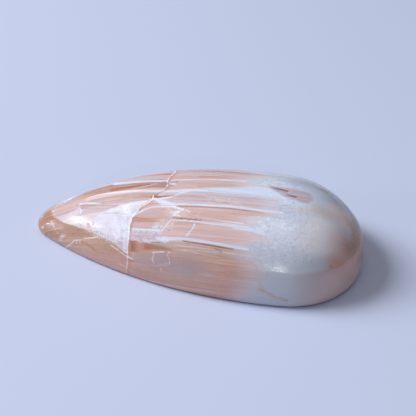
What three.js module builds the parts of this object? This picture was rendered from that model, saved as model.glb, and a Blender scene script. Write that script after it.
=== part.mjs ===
// A pear-shaped scolecite cabochon: one cut and polished stone that lies on its flat back.
// Millimetres, +Z up. The origin is on the back, under the middle of the stone.
// The narrow tip points along -X and the round end along +X.
import * as THREE from "three";

// The girdle is the widest outline. Three arcs make each half of it: tip, flank and round end.
const LENGTH = 40;
const END_RADIUS = 9.9;
const TIP_RADIUS = 2.2;
const FLANK_RADIUS = 50;
const GIRDLE_HEIGHT = 0.9;

// The flat back is a little smaller than the girdle, because its rim is rounded off
const BACK_INSET = 0.3;
const RIM_FULLNESS = 0.75;

// The crest is the soft edge where the leaning wall turns over into the dome
const CREST_INSET_AT_TIP = 1.65;
const CREST_INSET_AT_END = 0.7;
const CREST_INSET_AT_FLANK = 1;
const CREST_TIP_RADIUS = 1.5;
const CREST_HEIGHT_AT_TIP = 3;
const CREST_HEIGHT_ON_BODY = 4.35;
const CREST_RISE_LENGTH = 18;

// The dome's ridge runs along the middle. It peaks nearer to the round end and falls away as a power curve.
const HEIGHT = 9;
const PEAK_X = 9;
const FALL_TO_TIP = 3.4;
const FALL_TO_END = 3.2;

// The dome's cross-section is a parabola at both ends and gets fuller in between
const SECTION_AT_ENDS = 2;
const SECTION_IN_MIDDLE = 3;
const EASE_FROM_TIP = 20;
const EASE_FROM_END = 11.5;

// The wall leaves the crest in line with the dome and soon turns down. The dome's lean there is taken over a
// short step. The handles of the wall's curve are shares of its length: a short one keeps the crest crisp.
const LEAN_STEP = 0.1;
const CREST_HANDLE = 0.11;
const GIRDLE_HANDLE = 0.33;

// The facets: columns go round the stone, closer together at the tip, and rows go down it
const COLUMNS = 104;
const TIP_CROWDING = 0.4;
const DOME_ROWS = 15;
const WALL_ROWS = 6;
const RIM_ROWS = 2;

const STONE_COLOUR = 0xcfb6b2;
const STONE_ROUGHNESS = 0.18;

// A pear outline whose halves are three arcs that meet smoothly
class Pear {
  constructor({ length, endRadius, tipRadius, flankRadius, middleX }) {
    this.tipX = middleX - length / 2;
    this.endX = middleX + length / 2;
    this.tip = { x: this.tipX + tipRadius, y: 0, radius: tipRadius };
    this.end = { x: this.endX - endRadius, y: 0, radius: endRadius };
    const span = this.end.x - this.tip.x;
    const toTip = flankRadius - tipRadius;
    const toEnd = flankRadius - endRadius;
    const along = (toTip ** 2 - toEnd ** 2 + span ** 2) / (2 * span);
    const across = Math.sqrt(toTip ** 2 - along ** 2);
    this.flank = { x: this.tip.x + along, y: across, radius: flankRadius };
    this.tipAngle = Math.atan2(-across, -along);
    this.endAngle = Math.atan2(-across, span - along);
  }

  // The half from the tip along the -Y flank to the round end
  halfOutline() {
    const arc = ({ x, y, radius }, from, to) => new THREE.EllipseCurve(x, y, radius, radius, from, to, false);
    const outline = new THREE.CurvePath();
    outline.add(arc(this.tip, -Math.PI, this.tipAngle));
    outline.add(arc(this.flank, this.tipAngle, this.endAngle));
    outline.add(arc(this.end, this.endAngle, 0));
    return outline;
  }

  // The points of the whole outline, one for each column, with the +Y flank as the mirror of the -Y one
  points() {
    const outline = this.halfOutline();
    return Array.from({ length: COLUMNS }, (_, column) => {
      const turn = column / COLUMNS;
      const share = 2 * Math.min(turn, 1 - turn);
      const point = outline.getPoint(share - (TIP_CROWDING * Math.sin(Math.PI * share)) / Math.PI);
      return new THREE.Vector3(point.x, turn <= 0.5 ? point.y : -point.y, 0);
    });
  }

  // Half of the pear's width at x
  halfWidth(x) {
    const tipJoin = this.tip.x + this.tip.radius * Math.cos(this.tipAngle);
    const endJoin = this.end.x + this.end.radius * Math.cos(this.endAngle);
    const onBody = x < endJoin ? this.flank : this.end;
    const arc = x < tipJoin ? this.tip : onBody;
    return Math.sqrt(arc.radius ** 2 - (x - arc.x) ** 2) - arc.y;
  }
}

// The girdle outline pulled in by the same amount all round
function girdlePear(inset) {
  return new Pear({
    length: LENGTH - 2 * inset,
    endRadius: END_RADIUS - inset,
    tipRadius: TIP_RADIUS - inset,
    flankRadius: FLANK_RADIUS - inset,
    middleX: 0,
  });
}

const crestPear = new Pear({
  length: LENGTH - CREST_INSET_AT_TIP - CREST_INSET_AT_END,
  endRadius: END_RADIUS - CREST_INSET_AT_FLANK,
  tipRadius: CREST_TIP_RADIUS,
  flankRadius: FLANK_RADIUS - CREST_INSET_AT_FLANK,
  middleX: (CREST_INSET_AT_TIP - CREST_INSET_AT_END) / 2,
});

// The crest is low at the tip and climbs to its full height on the body
function crestHeight(x) {
  const climb = THREE.MathUtils.smoothstep(x, crestPear.tipX, crestPear.tipX + CREST_RISE_LENGTH);
  return THREE.MathUtils.lerp(CREST_HEIGHT_AT_TIP, CREST_HEIGHT_ON_BODY, climb);
}

// The height of the dome's ridge at x
function ridgeHeight(x) {
  if (x < PEAK_X) {
    const fall = ((PEAK_X - x) / (PEAK_X - crestPear.tipX)) ** FALL_TO_TIP;
    return THREE.MathUtils.lerp(HEIGHT, CREST_HEIGHT_AT_TIP, fall);
  }
  const fall = ((x - PEAK_X) / (crestPear.endX - PEAK_X)) ** FALL_TO_END;
  return THREE.MathUtils.lerp(HEIGHT, CREST_HEIGHT_ON_BODY, fall);
}

// The height of the dome above a place inside the crest
function domeHeight(x, y) {
  const fromTip = THREE.MathUtils.smoothstep(x, crestPear.tipX, crestPear.tipX + EASE_FROM_TIP);
  const fromEnd = 1 - THREE.MathUtils.smoothstep(x, crestPear.endX - EASE_FROM_END, crestPear.endX);
  const section = THREE.MathUtils.lerp(SECTION_AT_ENDS, SECTION_IN_MIDDLE, fromTip * fromEnd);
  const aside = (Math.abs(y) / crestPear.halfWidth(x)) ** section;
  return THREE.MathUtils.lerp(ridgeHeight(x), crestHeight(x), aside);
}

// The rings from just below the peak down to the last one inside the crest, as shrunken copies of the crest
function domeRings(crest) {
  return Array.from({ length: DOME_ROWS }, (_, row) => {
    const size = Math.sin((Math.PI * (row + 1)) / (2 * (DOME_ROWS + 1)));
    return crest.map((edge) => {
      const x = THREE.MathUtils.lerp(PEAK_X, edge.x, size);
      const y = edge.y * size;
      return new THREE.Vector3(x, y, domeHeight(x, y));
    });
  });
}

// The rings of the leaning wall, which leaves the crest in line with the dome and meets the girdle upright
function wallRings(crest, girdle) {
  const columns = crest.map((top, column) => {
    const foot = girdle[column];
    const inside = top.clone().sub(foot).setZ(0).setLength(LEAN_STEP).add(top);
    inside.z = domeHeight(inside.x, inside.y);
    const length = top.distanceTo(foot);
    const side = new THREE.CubicBezierCurve3(
      top,
      top.clone().sub(inside).setLength(CREST_HANDLE * length).add(top),
      foot.clone().setZ(foot.z + GIRDLE_HANDLE * length),
      foot,
    );
    return side.getPoints(WALL_ROWS).slice(1);
  });
  return columns[0].map((_, row) => columns.map((column) => column[row]));
}

// The rings of the rounded rim between the girdle and the flat back
function rimRings(girdle, back) {
  const columns = girdle.map((top, column) => {
    const corner = back[column].clone().lerp(top, RIM_FULLNESS).setZ(0);
    return new THREE.QuadraticBezierCurve3(top, corner, back[column]).getPoints(RIM_ROWS).slice(1);
  });
  return columns[0].map((_, row) => columns.map((column) => column[row]));
}

// All rings of the stone from the peak to the middle of its back
function stoneRings() {
  const crest = crestPear.points().map((point) => point.setZ(crestHeight(point.x)));
  const girdle = girdlePear(0).points().map((point) => point.setZ(GIRDLE_HEIGHT));
  const back = girdlePear(BACK_INSET).points();
  return [
    crest.map(() => new THREE.Vector3(PEAK_X, 0, HEIGHT)),
    ...domeRings(crest),
    crest,
    ...wallRings(crest, girdle),
    ...rimRings(girdle, back),
    back.map(() => new THREE.Vector3(0, 0, 0)),
  ];
}

// A sphere's closed grid of faces, with each vertex moved to its place on the stone
function cabochonGeometry() {
  const rings = stoneRings();
  const geometry = new THREE.SphereGeometry(1, COLUMNS, rings.length - 1);
  const position = geometry.getAttribute("position");
  rings.forEach((ring, row) => {
    for (let column = 0; column <= COLUMNS; column++) {
      const point = ring[column % COLUMNS];
      position.setXYZ(row * (COLUMNS + 1) + column, point.x, point.y, point.z);
    }
  });
  geometry.deleteAttribute("uv");
  geometry.computeVertexNormals();
  return geometry;
}

const stoneMaterial = new THREE.MeshStandardMaterial({
  color: STONE_COLOUR,
  roughness: STONE_ROUGHNESS,
  metalness: 0,
});

const cabochon = new THREE.Mesh(cabochonGeometry(), stoneMaterial);
cabochon.name = "cabochon";

const specimen = new THREE.Group();
specimen.add(cabochon);

export default specimen;
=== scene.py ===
"""A pear-shaped scolecite cabochon that lies on its flat back on a pale studio floor.

Lengths are in metres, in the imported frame. The stone's pattern is laid out in millimetres
and degrees, in two measures that follow its fibres: the place along the stone, from the
tip towards the round end, and the fan angle, which is how far a place leans out from
upright when it is seen from an axis that runs along the stone below its back.
"""
import logging
import math
from dataclasses import dataclass, field
from enum import Enum
from typing import Any, Sequence, Union

import bpy
from bpy.types import Material, Node, NodeSocket, NodeTree, Object
from mathutils import Matrix, Vector


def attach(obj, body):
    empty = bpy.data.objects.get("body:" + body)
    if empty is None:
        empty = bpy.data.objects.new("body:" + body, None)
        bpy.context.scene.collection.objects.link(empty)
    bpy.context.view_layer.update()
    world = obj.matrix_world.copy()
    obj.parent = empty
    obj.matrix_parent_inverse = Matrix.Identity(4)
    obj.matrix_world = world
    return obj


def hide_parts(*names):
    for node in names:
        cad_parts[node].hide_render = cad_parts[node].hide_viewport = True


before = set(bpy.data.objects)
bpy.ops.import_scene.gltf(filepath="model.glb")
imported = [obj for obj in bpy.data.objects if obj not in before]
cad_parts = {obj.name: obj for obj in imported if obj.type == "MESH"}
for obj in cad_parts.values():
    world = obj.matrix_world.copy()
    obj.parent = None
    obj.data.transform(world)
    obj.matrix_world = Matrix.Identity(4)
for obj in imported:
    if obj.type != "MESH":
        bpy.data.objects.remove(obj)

LOG = logging.getLogger("cabochon")
MM = 0.001

# The mean of a fibrous or crumbly pattern, and the values between which it breaks a mark up
GRAIN_MEAN = 0.5
GRAIN_OF_BREAKS = (0.4, 0.58)
# Deeper inside a mark than any place is, in millimetres
DEEPEST = 1000.0
# How much a pattern is squeezed along each axis when it isn't drawn out
EVEN = (1.0, 1.0, 1.0)

Number = Union[float, NodeSocket]


class Tint(Enum):
    """The stone's colours and the floor's, as linear red, green and blue."""

    SALMON = (0.71, 0.46, 0.43)
    DEEP_SALMON = (0.56, 0.29, 0.23)
    PALE_PINK = (0.65, 0.51, 0.56)
    ROSE = (0.68, 0.47, 0.45)
    DUSKY_ROSE = (0.48, 0.27, 0.23)
    TAUPE = (0.62, 0.46, 0.46)
    LAVENDER = (0.64, 0.51, 0.61)
    SMOKE = (0.46, 0.35, 0.36)
    WALL_ROSE = (0.65, 0.38, 0.32)
    TIP_ROSE = (0.56, 0.39, 0.37)
    BLOOM = (0.78, 0.53, 0.51)
    BEIGE = (0.61, 0.41, 0.35)
    BURNT_ORANGE = (0.38, 0.145, 0.075)
    BROWN = (0.24, 0.11, 0.07)
    AMBER = (0.39, 0.20, 0.13)
    HONEY = (0.48, 0.29, 0.22)
    CREAM = (0.80, 0.70, 0.70)
    CHALK = (0.78, 0.84, 1.00)
    # Pale blue-white of a broad streak, partly painted sky reflection.
    SKY = (0.71, 0.80, 1.00)
    SATIN = (0.76, 0.70, 0.77)
    ICE = (0.58, 0.59, 0.66)
    MIST = (0.44, 0.47, 0.60)
    # Pale frost of the clear end, partly painted sky sheen.
    FROST = (0.67, 0.71, 0.88)
    BLUSH = (0.50, 0.38, 0.43)
    PEARL = (0.72, 0.55, 0.54)
    BLUSH_PEARL = (0.68, 0.48, 0.45)
    TAN = (0.70, 0.53, 0.44)
    RUST = (0.44, 0.23, 0.16)
    RUSSET = (0.67, 0.37, 0.31)
    UMBER = (0.30, 0.21, 0.14)
    # Near-white that brightens the round end: painted soft highlight.
    MILK = (0.98, 0.90, 0.96)
    GLEAM = (0.90, 0.90, 0.99)
    # Pale peach that brightens the round end: painted soft highlight.
    PEACH = (0.92, 0.76, 0.76)
    ORCHID = (0.70, 0.50, 0.54)
    OCHRE = (0.55, 0.36, 0.21)
    FLOOR = (0.59, 0.63, 0.82)


class NodeBench:
    """Lays out the nodes of one shader and wires them up."""

    def __init__(self, tree: NodeTree) -> None:
        """Empties the node tree that is to be filled."""
        self.tree = tree
        tree.nodes.clear()

    def add(self, kind: str, **settings: Any) -> Node:
        """Adds one node and sets its options.

        Args:
            kind: the node's type name.
            settings: option names and their values.

        Returns:
            The new node.
        """
        node = self.tree.nodes.new(kind)
        for name, value in settings.items():
            setattr(node, name, value)
        return node

    def feed(self, socket: NodeSocket, value: Any) -> None:
        """Links a socket into an input, or sets the input's own value.

        Args:
            socket: the input.
            value: the socket, colour or value that it gets.
        """
        if isinstance(value, NodeSocket):
            self.tree.links.new(value, socket)
        elif isinstance(value, Tint):
            socket.default_value = (*value.value, 1.0)
        else:
            socket.default_value = value

    def math(self, operation: str, *values: Number) -> NodeSocket:
        """Adds a Math node.

        Args:
            operation: what it does.
            values: its numbers.

        Returns:
            Its result.
        """
        node = self.add("ShaderNodeMath", operation=operation)
        for socket, value in zip(node.inputs, values):
            self.feed(socket, value)
        return node.outputs[0]

    def times(self, first: Number, *others: Number) -> NodeSocket:
        """Multiplies values, the first two first.

        Args:
            first: the first value.
            others: the values that it is multiplied by.

        Returns:
            The product.
        """
        product = first
        for other in others:
            product = self.math("MULTIPLY", product, other)
        return product

    def stray(self, pattern: NodeSocket, reach: float) -> NodeSocket:
        """Turns a pattern into a shift to either side, the reach wide in all."""
        return self.math("MULTIPLY_ADD", pattern, reach, -reach / 2)

    def off(self, value: Number, middle: float) -> NodeSocket:
        """How far a value lies on either side of another."""
        return self.math("ABSOLUTE", self.math("ADD", value, -middle))

    def ease(
        self, value: Number, low: Number, high: Number, start: Number = 0.0, end: Number = 1.0
    ) -> NodeSocket:
        """Maps a range smoothly to another.

        Args:
            value: what is mapped.
            low: the value that gives start.
            high: the value that gives end.
            start: the result at low and before it.
            end: the result at high and after it.

        Returns:
            The mapped value.
        """
        node = self.add("ShaderNodeMapRange", interpolation_type="SMOOTHSTEP", clamp=False)
        for socket, entry in zip(node.inputs, (value, low, high, start, end)):
            self.feed(socket, entry)
        return node.outputs["Result"]

    def clamp(self, value: Number) -> NodeSocket:
        """Keeps a value between 0 and 1.

        Args:
            value: the value.

        Returns:
            The value, or the nearer end where it lies outside.
        """
        node = self.add("ShaderNodeClamp")
        self.feed(node.inputs["Value"], value)
        return node.outputs["Result"]

    def vector(self, x: Number, y: Number, z: Number) -> NodeSocket:
        """Joins three numbers into a vector.

        Args:
            x: its first number.
            y: its second number.
            z: its third number.

        Returns:
            The vector.
        """
        node = self.add("ShaderNodeCombineXYZ")
        for socket, value in zip(node.inputs, (x, y, z)):
            self.feed(socket, value)
        return node.outputs[0]

    def split(self, vector: NodeSocket) -> Sequence[NodeSocket]:
        """Splits a vector into its three numbers.

        Args:
            vector: the vector.

        Returns:
            The three, as sockets.
        """
        node = self.add("ShaderNodeSeparateXYZ")
        self.feed(node.inputs[0], vector)
        return node.outputs

    def vector_math(
        self, operation: str, *values: Any, result: str = "Vector", scale: Any = None
    ) -> NodeSocket:
        """Adds a Vector Math node.

        Args:
            operation: what it does.
            values: its vectors.
            result: which of its results is wanted, Vector or Value.
            scale: the number that it scales by, if it does that.

        Returns:
            The result.
        """
        node = self.add("ShaderNodeVectorMath", operation=operation)
        for socket, value in zip(node.inputs, values):
            self.feed(socket, value)
        if scale is not None:
            self.feed(node.inputs["Scale"], scale)
        return node.outputs[result]

    def blend(self, share: Number, below: Any, above: Any, mode: str = "MIX") -> NodeSocket:
        """Lays one colour over another.

        Args:
            share: how much of the upper colour shows.
            below: the lower colour.
            above: the upper colour.
            mode: how the two are combined.

        Returns:
            The combined colour.
        """
        node = self.add("ShaderNodeMix", data_type="RGBA", blend_type=mode, clamp_factor=True)
        colours = [socket for socket in node.inputs if socket.type == "RGBA"]
        self.feed(node.inputs[0], share)
        for socket, colour in zip(colours, (below, above)):
            self.feed(socket, colour)
        return next(socket for socket in node.outputs if socket.type == "RGBA")

    def ramp(self, value: NodeSocket, stops: Sequence[tuple[float, Tint]]) -> NodeSocket:
        """Adds a colour ramp.

        Args:
            value: what is looked up, from 0 to 1.
            stops: the places of the colours, in order.

        Returns:
            The colour at the value.
        """
        node = self.add("ShaderNodeValToRGB")
        elements = node.color_ramp.elements
        while len(elements) < len(stops):
            elements.new(1.0)
        for element, (place, tint) in zip(elements, stops):
            element.position = place
            element.color = (*tint.value, 1.0)
        self.feed(node.inputs[0], value)
        return node.outputs["Color"]

    def curve(self, value: NodeSocket, points: Sequence[tuple[float, float]]) -> NodeSocket:
        """Adds a curve of straight stretches.

        Args:
            value: what is looked up, from 0 to 1.
            points: the corners of the curve, in order.

        Returns:
            The curve's height at the value.
        """
        node = self.add("ShaderNodeFloatCurve")
        line = node.mapping.curves[0]
        while len(line.points) < len(points):
            line.points.new(1.0, 1.0)
        for point, place in zip(line.points, points):
            point.location = place
            point.handle_type = "VECTOR"
        node.mapping.update()
        self.feed(node.inputs["Value"], value)
        return node.outputs["Value"]


@dataclass(frozen=True)
class Slope:
    """A value that rises or falls smoothly while another runs through a range.

    Attributes:
        low: where in the range it starts.
        high: where it ends, which may be less than low.
        start: its value up to there.
        end: its value from there on.
    """

    low: float
    high: float
    start: float = 0.0
    end: float = 1.0

    def at(self, bench: NodeBench, value: Number) -> NodeSocket:
        """The slope's height where the other value is this one."""
        return bench.ease(value, self.low, self.high, self.start, self.end)


@dataclass(frozen=True)
class Noise:
    """A cloudy pattern, about 0.5 in the mean.

    Attributes:
        scale: how fine it is.
        detail: how many finer layers it has.
        roughness: how strong the finer layers are.
        drawn: how much it is squeezed along each axis; less than 1 draws it out.
    """

    scale: float
    detail: float = 2.0
    roughness: float = 0.5
    drawn: tuple[float, float, float] = EVEN

    def at(self, bench: NodeBench, place: NodeSocket) -> NodeSocket:
        """Adds the pattern to a shader.

        Args:
            bench: the shader's nodes.
            place: the vector that it is read at.

        Returns:
            Its value there.
        """
        if self.drawn != EVEN:
            place = bench.vector_math("MULTIPLY", place, self.drawn)
        node = bench.add("ShaderNodeTexNoise", noise_dimensions="3D")
        bench.feed(node.inputs["Vector"], place)
        node.inputs["Scale"].default_value = self.scale
        node.inputs["Detail"].default_value = self.detail
        node.inputs["Roughness"].default_value = self.roughness
        return node.outputs["Fac"]


class Jig:
    """A small node group that is laid out once and used by many marks."""

    def __init__(self, name: str, result: str, **entries: str) -> None:
        """Starts the group with its entries and its result.

        Args:
            name: the group's name.
            result: what kind of value it gives, such as Float or Color.
            entries: the names of its entries and what kind of value each takes.
        """
        self.tree = bpy.data.node_groups.new(name, "ShaderNodeTree")
        self.bench = NodeBench(self.tree)
        for entry, kind in entries.items():
            self.tree.interface.new_socket(entry, in_out="INPUT", socket_type=f"NodeSocket{kind}")
        self.tree.interface.new_socket("result", in_out="OUTPUT", socket_type=f"NodeSocket{result}")
        self.entries = self.bench.add("NodeGroupInput").outputs

    def finish(self, result: NodeSocket) -> None:
        """Wires the last value of the group to its result."""
        self.bench.feed(self.bench.add("NodeGroupOutput").inputs[0], result)

    def use(self, bench: NodeBench, **entries: Any) -> NodeSocket:
        """Puts the group into a shader.

        Args:
            bench: the shader's nodes.
            entries: what goes into its entries.

        Returns:
            The group's result.
        """
        node = bench.add("ShaderNodeGroup", node_tree=self.tree)
        for name, value in entries.items():
            bench.feed(node.inputs[name], value)
        return node.outputs[0]


def stretch_jig() -> Jig:
    """Lays out the group that measures how far a place is from one stretch of a vein.

    Returns:
        The group, which takes the distance from the stretches before and gives the lesser one.
    """
    jig = Jig("stretch", "Float", chart="Vector", edge="Float", start="Vector", run="Vector", pace="Vector",
              half="Float", grow="Float")
    bench, entries = jig.bench, jig.entries
    from_start = bench.vector_math("SUBTRACT", entries["chart"], entries["start"])
    share = bench.clamp(bench.vector_math("DOT_PRODUCT", from_start, entries["pace"], result="Value"))
    nearest = bench.vector_math("SCALE", entries["run"], scale=share)
    away = bench.vector_math("DISTANCE", from_start, nearest, result="Value")
    half = bench.math("MULTIPLY_ADD", share, entries["grow"], entries["half"])
    jig.finish(bench.math("MINIMUM", entries["edge"], bench.math("SUBTRACT", away, half)))
    return jig


def side_jig() -> Jig:
    """Lays out the group that measures how deep a place lies behind one side of a patch.

    Returns:
        The group, which takes the depth behind the sides before and gives the lesser one.
    """
    jig = Jig("side", "Float", chart="Vector", depth="Float", inward="Vector", limit="Float")
    bench, entries = jig.bench, jig.entries
    reach = bench.vector_math("DOT_PRODUCT", entries["chart"], entries["inward"], result="Value")
    jig.finish(bench.math("MINIMUM", entries["depth"], bench.math("SUBTRACT", reach, entries["limit"])))
    return jig


def coat_jig() -> Jig:
    """Lays out the group that lays a mark's colour on the stone, broken up by its grain.

    Returns:
        The group, which takes the colour below and gives the one with the mark on it.
    """
    jig = Jig("coat", "Color", colour="Color", tint="Color", depth="Float", soft="Float", strength="Float",
              grain="Float", kept="Float", fray="Float")
    bench, entries = jig.bench, jig.entries
    outside = bench.times(entries["soft"], -1.0)
    stray = bench.times(bench.math("SUBTRACT", entries["grain"], GRAIN_MEAN), entries["fray"])
    frayed = bench.math("ADD", entries["depth"], stray)
    shown = bench.ease(frayed, outside, entries["soft"], 0.0, entries["strength"])
    whole = bench.ease(entries["grain"], *GRAIN_OF_BREAKS, entries["kept"], 1.0)
    jig.finish(bench.blend(bench.times(shown, whole), entries["colour"], entries["tint"]))
    return jig


class MarkBench(NodeBench):
    """A bench with the groups that the stone's marks are drawn with."""

    def __init__(self, tree: NodeTree) -> None:
        """Empties the node tree and lays out the groups.

        Args:
            tree: the node tree that is to be filled.
        """
        super().__init__(tree)
        self.stretch = stretch_jig()
        self.side = side_jig()
        self.coat = coat_jig()


@dataclass(frozen=True)
class Span:
    """A range of a measure, such as the fan angle.

    Attributes:
        low: its least value.
        high: its greatest value.
    """

    low: float
    high: float

    def share(self, value: float) -> float:
        """The place of a value in the range, from 0 to 1."""
        return (value - self.low) / (self.high - self.low)

    def share_node(self, bench: NodeBench, value: NodeSocket) -> NodeSocket:
        """Does the same in a shader.

        Args:
            bench: the shader's nodes.
            value: the value.

        Returns:
            Its place in the range, from 0 to 1.
        """
        node = bench.add("ShaderNodeMapRange", clamp=False)
        for socket, entry in zip(node.inputs, (value, self.low, self.high, 0.0, 1.0)):
            bench.feed(socket, entry)
        return node.outputs["Result"]


FAN = Span(-80.0, 80.0)
ALONG = Span(-20.0, 20.0)
MM_PER_DEGREE = 0.2

Spot = tuple[float, float]


def on_chart(spot: Spot) -> Vector:
    """The place of a spot on the flat chart that the marks are drawn on, in millimetres."""
    along, fan = spot
    return Vector((along, fan * MM_PER_DEGREE, 0.0))


@dataclass(frozen=True)
class Place:
    """Where a point of the stone is, as sockets of its shader.

    Attributes:
        point: the point in millimetres.
        along: its place along the stone, in millimetres from the middle.
        height: its height over the flat back, in millimetres.
        fan: its fan angle in degrees, less than zero on the near side.
        fibre: a vector that changes slowly along the fibres and quickly across them.
        chart: its place on the flat chart, slightly shaken.
        torn: its place on the chart, shaken along the fibres.
        grain: a fibrous pattern, about 0.5 in the mean.
        speck: a crumbly pattern, about 0.5 in the mean.
    """

    point: NodeSocket
    along: NodeSocket
    height: NodeSocket
    fan: NodeSocket
    fibre: NodeSocket
    chart: NodeSocket
    torn: NodeSocket
    grain: NodeSocket
    speck: NodeSocket


@dataclass(frozen=True)
class Lamellae:
    """Layers of the stone that lie fanwise round its axis, each with its own colour.

    Attributes:
        layers: the fan angle where each layer starts, and its colour.
        seam: how many degrees one layer takes to turn into the next.
        pale_fibres: how much cream shows, by the fibrous grain.
        dark_fibres: how much dusky rose shows, by the fibrous grain.
        crumbs: how much cream shows, by the crumbly grain.
    """

    layers: tuple[tuple[float, Tint], ...]
    seam: float = 0.5
    pale_fibres: Slope = Slope(0.5, 0.66, 0.0, 0.6)
    dark_fibres: Slope = Slope(0.5, 0.34, 0.0, 0.5)
    crumbs: Slope = Slope(0.56, 0.7, 0.0, 0.3)

    def colour(self, bench: MarkBench, place: Place) -> NodeSocket:
        """Looks up the layer at a place and draws its fibres.

        Args:
            bench: the shader's nodes.
            place: where the colour is read.

        Returns:
            The layer's colour.
        """
        stops = [(0.0, self.layers[0][1])]
        for (_, before), (start, tint) in zip(self.layers, self.layers[1:]):
            stops.append((FAN.share(start - self.seam / 2), before))
            stops.append((FAN.share(start + self.seam / 2), tint))
        colour = bench.ramp(FAN.share_node(bench, place.fan), stops)
        colour = bench.blend(self.pale_fibres.at(bench, place.grain), colour, Tint.CREAM)
        colour = bench.blend(self.dark_fibres.at(bench, place.grain), colour, Tint.DUSKY_ROSE)
        return bench.blend(self.crumbs.at(bench, place.speck), colour, Tint.CREAM)


@dataclass(frozen=True)
class Vein:
    """A thin streak, vein or crack that follows a line of short stretches.

    Attributes:
        line: its corners, each as a place along the stone and a fan angle.
        width: its width in millimetres at the start and at the end.
        tint: its colour.
        strength: how much of it shows.
        soft: how far its edges fade, in millimetres.
        broken: how much the grain of the stone breaks it up.
        fray: how far the grain shifts its edges.
        mottled: whether the crumbly grain does this, in place of the fibrous one.
    """

    line: tuple[Spot, ...]
    width: tuple[float, float] = (0.12, 0.12)
    tint: Tint = Tint.CHALK
    strength: float = 0.9
    soft: float = 0.06
    broken: float = 0.4
    fray: float = 0.4
    mottled: bool = False

    def depth(self, bench: MarkBench, place: Place) -> NodeSocket:
        """Measures how deep in the vein a place lies.

        Args:
            bench: the shader's nodes.
            place: where the depth is read.

        Returns:
            The depth in millimetres, less than zero outside.
        """
        corners = [on_chart(spot) for spot in self.line]
        grow = (self.width[1] - self.width[0]) / (len(corners) - 1) / 2
        edge: Number = DEEPEST
        for index, (start, end) in enumerate(zip(corners, corners[1:])):
            run = end - start
            edge = bench.stretch.use(
                bench, chart=place.chart, edge=edge, start=start, run=run, pace=run / run.length_squared,
                half=self.width[0] / 2 + grow * index, grow=grow,
            )
        return bench.times(edge, -1.0)


@dataclass(frozen=True)
class Patch:
    """A patch with straight sides and no hollow corner.

    Attributes:
        corners: its corners, each as a place along the stone and a fan angle.
        tint: its colour.
        strength: how much of it shows.
        soft: how far its edges fade, in millimetres.
        broken: how much the grain of the stone breaks it up.
        fray: how far the grain shifts its edges.
        mottled: whether the crumbly grain does this, in place of the fibrous one.
    """

    corners: tuple[Spot, ...]
    tint: Tint
    strength: float = 0.9
    soft: float = 0.12
    broken: float = 0.2
    fray: float = 0.6
    mottled: bool = False

    def depth(self, bench: MarkBench, place: Place) -> NodeSocket:
        """Measures how deep in the patch a place lies.

        Args:
            bench: the shader's nodes.
            place: where the depth is read.

        Returns:
            The depth in millimetres, less than zero outside.
        """
        corners = [on_chart(spot) for spot in self.corners]
        middle = sum(corners, Vector((0.0, 0.0, 0.0))) / len(corners)
        depth: Number = DEEPEST
        for start, end in zip(corners, corners[1:] + corners[:1]):
            inward = Vector((start.y - end.y, end.x - start.x, 0.0)).normalized()
            if inward.dot(middle - start) < 0:
                inward.negate()
            limit = inward.dot(start)
            depth = bench.side.use(bench, chart=place.torn, depth=depth, inward=inward, limit=limit)
        return depth


@dataclass(frozen=True)
class Stain:
    """A soft oval stain.

    Attributes:
        along: the place of its middle along the stone.
        fan: the fan angle of its middle.
        reach: how far it spreads along the stone, in millimetres, and round it, in degrees.
        tint: its colour.
        strength: how much of it shows in the middle.
        soft: how much of its reach its edge takes on either side of the half-way line.
        broken: how much the grain of the stone breaks it up.
        fray: how far the grain shifts its edges.
        mottled: whether the crumbly grain does this, in place of the fibrous one.
    """

    along: float
    fan: float
    reach: tuple[float, float]
    tint: Tint
    strength: float = 0.6
    soft: float = 0.5
    broken: float = 0.2
    fray: float = 0.8
    mottled: bool = False

    def depth(self, bench: MarkBench, place: Place) -> NodeSocket:
        """Measures how far inside the stain's half-way line a place lies.

        Args:
            bench: the shader's nodes.
            place: where the depth is read.

        Returns:
            The depth as a share of its reach, less than zero outside.
        """
        middle, reach = on_chart((self.along, self.fan)), on_chart(self.reach)
        shrink = Vector((1 / reach.x, 1 / reach.y, 0.0))
        offset = bench.vector_math("MULTIPLY_ADD", place.chart, shrink, -middle * shrink)
        away = bench.vector_math("LENGTH", offset, result="Value")
        return bench.math("SUBTRACT", 1 - self.soft, away)


Mark = Union[Vein, Patch, Stain]


def paint(bench: MarkBench, place: Place, colour: NodeSocket, marks: Sequence[Mark]) -> NodeSocket:
    """Paints marks over a colour, one after another.

    Args:
        bench: the shader's nodes.
        place: where the colour is read.
        colour: the colour below.
        marks: the marks, the lowest first.

    Returns:
        The colour with the marks on it.
    """
    for mark in marks:
        grain = place.speck if mark.mottled else place.grain
        colour = bench.coat.use(
            bench, colour=colour, tint=mark.tint, depth=mark.depth(bench, place), soft=mark.soft,
            strength=mark.strength, grain=grain, kept=1 - mark.broken, fray=mark.fray,
        )
    return colour


@dataclass(frozen=True)
class Divide:
    """A line across the fibres, with one kind of stone before it and another past it.

    Attributes:
        corners: the line, as fan angles and places along the stone.
        jag: how far it strays from that line, in millimetres.
    """

    corners: tuple[Spot, ...]
    jag: float

    def along_at(self, fan: float) -> float:
        """Follows the line to a fan angle.

        Args:
            fan: the fan angle in degrees.

        Returns:
            The line's place along the stone there, in millimetres.
        """
        for (low, start), (high, end) in zip(self.corners, self.corners[1:]):
            if fan < high:
                return start + (end - start) * max(fan - low, 0.0) / (high - low)
        return self.corners[-1][1]

    def past(self, bench: MarkBench, place: Place) -> NodeSocket:
        """Measures how far past the line a place is.

        Args:
            bench: the shader's nodes.
            place: where this is read.

        Returns:
            The distance in millimetres towards the round end.
        """
        corners = [(FAN.share(fan), ALONG.share(along)) for fan, along in self.corners]
        line = bench.curve(FAN.share_node(bench, place.fan), corners)
        straight = bench.math("SUBTRACT", place.along, ALONG.low)
        from_start = bench.math("SUBTRACT", straight, bench.stray(place.grain, self.jag))
        return bench.math("MULTIPLY_ADD", line, ALONG.low - ALONG.high, from_start)


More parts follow.
